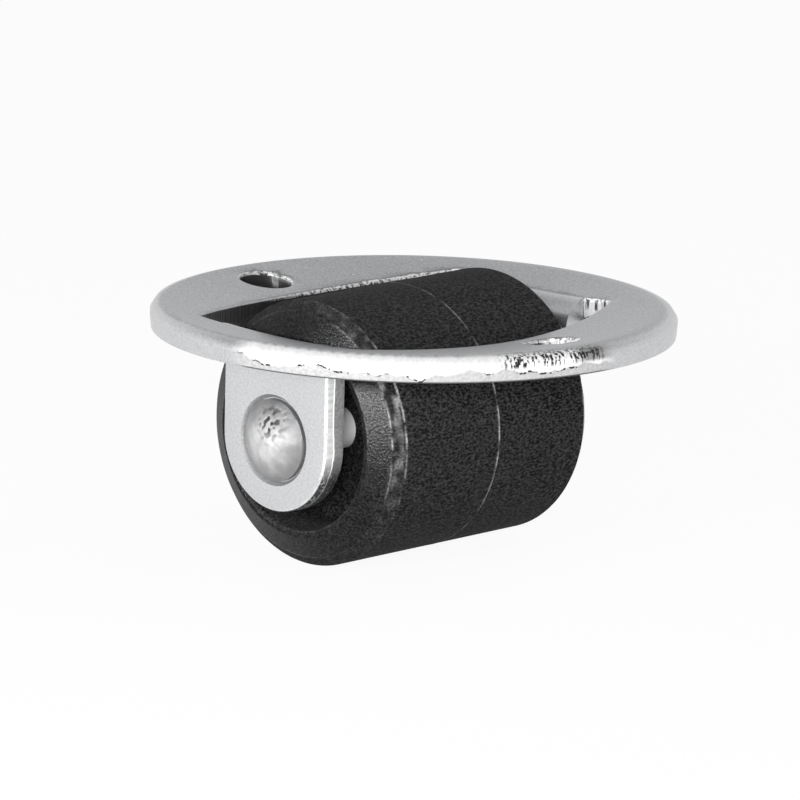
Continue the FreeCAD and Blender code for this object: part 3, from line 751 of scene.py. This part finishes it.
def rivet_skin(material):
    """The hammered rivet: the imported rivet's outline turned about the axle, with dents in both domes.

    A dome's points lie on a sphere through its crown and its band. They sink along the axle by a smooth
    noise, and by a finer one near the burr, and both fade at the band. Single points close the crowns."""
    crown = rivet_high.y / MM
    head = (rivet_high.x - rivet_low.x) / 2 / MM
    seat = crown - HEAD_HEIGHT_MM
    dome = HEAD_HEIGHT_MM - HEAD_BAND_MM
    sphere = (head ** 2 + dome ** 2) / (2 * dome)
    reach = np.linspace(0, head, DOME_RINGS)[1:]
    dome_along = crown - sphere + np.sqrt(sphere ** 2 - reach ** 2)
    half_along = np.concatenate([dome_along, [seat + HEAD_BAND_MM / 2, seat, seat]])
    half_out = np.concatenate([reach, [head, head, SHANK_RADIUS_MM]])
    along = np.concatenate([half_along, -half_along[::-1]])[:, None]
    out = np.concatenate([half_out, half_out[::-1]])[:, None]
    angle = np.linspace(0, 2 * np.pi, HEAD_ANGLES, endpoint=False)
    side = np.sign(along)
    x = out * np.cos(angle) * -side
    z = out * np.sin(angle)
    fade = np.clip((head - out) / DENT_FADE_MM, 0, 1) * (np.abs(along) > seat + HEAD_BAND_MM - TINY_MM)
    burr_gap = np.hypot(x - BURR_PLACE_MM[0], z - BURR_PLACE_MM[1]) / BURR_REACH_MM
    dents = DENT_DEPTH_MM * np.clip(1 + rolling(x, z, DENT_MM, DENT_SEED), 0, 2)
    burrs = np.clip(BURR_BASE + rolling(x, z, BURR_MM, BURR_SEED), 0, 1) * np.exp(-burr_gap ** 2)
    sunk = along - side * fade * (dents + BURR_DEPTH_MM * burrs)
    points = turned_points(sunk * MM, out * MM, angle, 0).reshape(-1, 3)
    rows = len(out)
    near_pole = rows * HEAD_ANGLES
    pole = (crown - DENT_DEPTH_MM) * MM
    poles = [(0, pole, axle_height), (0, -pole, axle_height)]
    column = np.arange(HEAD_ANGLES)
    next_column = (column + 1) % HEAD_ANGLES
    last = (rows - 1) * HEAD_ANGLES
    first_fan = np.stack([np.full_like(column, near_pole), column, next_column], axis=-1)
    last_fan = np.stack([last + column, np.full_like(column, near_pole + 1), last + next_column], axis=-1)
    faces = grid_faces(rows, HEAD_ANGLES, ring=False).tolist() + first_fan.tolist() + last_fan.tolist()
    mesh = bpy.data.meshes.new("rivet_hammered")
    mesh.from_pydata(points.tolist() + poles, [], faces)
    # Where the burr's dents stand, the share of painted dark reflection
    share = mesh.attributes.new("burr_and_painted_light", "FLOAT", "POINT")
    burr_painted_dark = np.clip(fade * burrs * BURR_GAIN - BURR_CUT, 0, 1)
    share.data.foreach_set("value", np.append(burr_painted_dark.ravel(), [0, 0]).astype(np.float32))
    put_in_scene("rivet_hammered", mesh, material, "bracket", "axle_rivet")
    mesh.set_sharp_from_angle(angle=SMOOTH_ANGLE)


def place_camera():
    """A camera on the line that looks at VIEW_POINT, turned so that the point lands on its pixel."""
    azimuth = math.radians(VIEW_AZIMUTH)
    elevation = math.radians(VIEW_ELEVATION)
    roll = math.radians(VIEW_ROLL)
    back = Vector((math.sin(azimuth) * math.cos(elevation),
                   -math.cos(azimuth) * math.cos(elevation), math.sin(elevation)))
    level_right = Vector((math.cos(azimuth), math.sin(azimuth), 0))
    level_up = back.cross(level_right)
    right = math.cos(roll) * level_right + math.sin(roll) * level_up
    up = -math.sin(roll) * level_right + math.cos(roll) * level_up
    across = (IMAGE_SIZE / 2 - VIEW_POINT_PIXEL[0]) / PIXELS_PER_MM * MM
    down = (IMAGE_SIZE / 2 - VIEW_POINT_PIXEL[1]) / PIXELS_PER_MM * MM
    place = VIEW_POINT + back * VIEW_DISTANCE
    aim = VIEW_POINT + right * across - up * down
    behind = (place - aim).normalized()
    aside = up.cross(behind).normalized()
    above = behind.cross(aside)
    data = bpy.data.cameras.new("camera")
    data.sensor_width = SENSOR_MM
    data.lens = SENSOR_MM * VIEW_DISTANCE / (IMAGE_SIZE / PIXELS_PER_MM * MM)
    data.clip_start = VIEW_DISTANCE / 100
    data.clip_end = VIEW_DISTANCE * 100
    camera = bpy.data.objects.new("camera", data)
    bpy.context.scene.collection.objects.link(camera)
    turn = Matrix((aside, above, behind)).transposed()
    camera.matrix_world = Matrix.Translation(place) @ turn.to_4x4()
    bpy.context.scene.camera = camera


def lamp(name, turn, elevation, width, height, power, mirrored=False, only_on=None):
    """A soft rectangular lamp that faces the caster, at a turn from the camera's side and an elevation.

    Angles are degrees, sizes metres and powers watts.
    Only a mirrored lamp shows in glossy surfaces; others would burn out the metal when seen from behind.
    A lamp that is for one piece alone adds nothing but its sheen."""
    azimuth = math.radians(VIEW_AZIMUTH + turn)
    rise = math.radians(elevation)
    direction = Vector((math.sin(azimuth) * math.cos(rise), -math.cos(azimuth) * math.cos(rise),
                        math.sin(rise)))
    data = bpy.data.lights.new(name, "AREA")
    data.shape = "RECTANGLE"
    data.size = width
    data.size_y = height
    data.energy = power
    holder = bpy.data.objects.new(name, data)
    holder.visible_camera = False
    holder.visible_glossy = mirrored
    if only_on:
        lit_pieces = bpy.data.collections.new(name + "_lit")
        lit_pieces.objects.link(only_on)
        holder.light_linking.receiver_collection = lit_pieces
        holder.visible_diffuse = False
    bpy.context.scene.collection.objects.link(holder)
    facing = (-direction).to_track_quat("-Z", "Y")
    place = Matrix.Translation(VIEW_POINT + direction * LAMP_DISTANCE)
    holder.matrix_world = place @ facing.to_matrix().to_4x4()


def make_floor():
    """A large flat square, level with the lowest point of the roller."""
    across = np.linspace(-FLOOR_HALF, FLOOR_HALF, 2)
    x, y = np.meshgrid(across, across)
    points = np.stack([x, y, np.full_like(x, roller_low.z)], axis=-1).reshape(-1, 3)
    mesh = bpy.data.meshes.new("floor")
    mesh.from_pydata(points.tolist(), [], [(0, 1, 3, 2)])
    floor = bpy.data.objects.new("floor", mesh)
    bpy.context.scene.collection.objects.link(floor)
    material, tree, output = new_material("paper_white_matte")
    paper = add(tree, "ShaderNodeBsdfDiffuse", {"Color": linear("#F2F2F2")})
    path = add(tree, "ShaderNodeLightPath")
    seen = path.outputs["Is Camera Ray"]
    for ray in ("Is Glossy Ray", "Is Transmission Ray"):
        seen = add(tree, "ShaderNodeMath", {0: seen, 1: path.outputs[ray]}, operation="MAXIMUM")
    white = add(tree, "ShaderNodeEmission", {"Color": linear("#FFFFFF"), "Strength": 1.0})
    share = add(tree, "ShaderNodeMath", {0: seen, 1: FLOOR_WHITE}, operation="MULTIPLY")
    mix = add(tree, "ShaderNodeMixShader", {0: share, 1: paper, 2: white})
    tree.links.new(mix.outputs[0], output.inputs["Surface"])
    mesh.materials.append(material)


def light_world():
    """A surround that is white to the camera and lights the caster dimly.

    Reflections see it white at eye level and greyer overhead."""
    world = bpy.data.worlds.new("surround")
    world.use_nodes = True
    tree = world.node_tree
    tree.nodes.clear()
    path = add(tree, "ShaderNodeLightPath")
    direction = add(tree, "ShaderNodeTexCoord")
    height = add(tree, "ShaderNodeSeparateXYZ", {0: direction.outputs["Generated"]})
    overhead = add(tree, "ShaderNodeMapRange", {
        "Value": height.outputs["Z"], "From Min": 0.5, "From Max": 0.8,
        "To Min": 1.0, "To Max": OVERHEAD_MIRRORED})
    plain = add(tree, "ShaderNodeMix", {
        0: path.outputs["Is Glossy Ray"], 2: SURROUND_LIGHT, 3: overhead}, data_type="FLOAT")
    strength = add(tree, "ShaderNodeMix", {
        0: path.outputs["Is Camera Ray"], 2: plain, 3: 1.0}, data_type="FLOAT")
    ground = add(tree, "ShaderNodeBackground", {"Color": linear("#FFFFFF"), "Strength": strength})
    output = add(tree, "ShaderNodeOutputWorld")
    tree.links.new(ground.outputs[0], output.inputs["Surface"])
    bpy.context.scene.world = world


sheet_finish = zinc_sheet()
rivet_finish = bright_rivet()
roller_finish = black_moulding()
dress("mounting_plate", sheet_finish)
dress("axle_rivet", rivet_finish)
dress("roller", roller_finish)
plate_skin(sheet_finish)
rivet_skin(rivet_finish)
roller_piece = roller_skin(roller_finish)

place_camera()
make_floor()
light_world()
for number, front_turn in enumerate(FRONT_TURNS):
    lamp("front_" + str(number), turn=front_turn, elevation=6, width=0.45, height=0.12, power=0.95)
lamp("side_left", turn=-37, elevation=13, width=0.08, height=0.06, power=1.2, mirrored=True)
lamp("sheen", turn=-37, elevation=16, width=0.08, height=0.06, power=18.0, mirrored=True,
     only_on=roller_piece)
lamp("flash", turn=-4, elevation=14, width=0.08, height=0.08, power=1.7)
lamp("overhead", turn=111, elevation=48, width=0.25, height=0.15, power=0.4)

bpy.context.scene.view_settings.view_transform = "Standard"
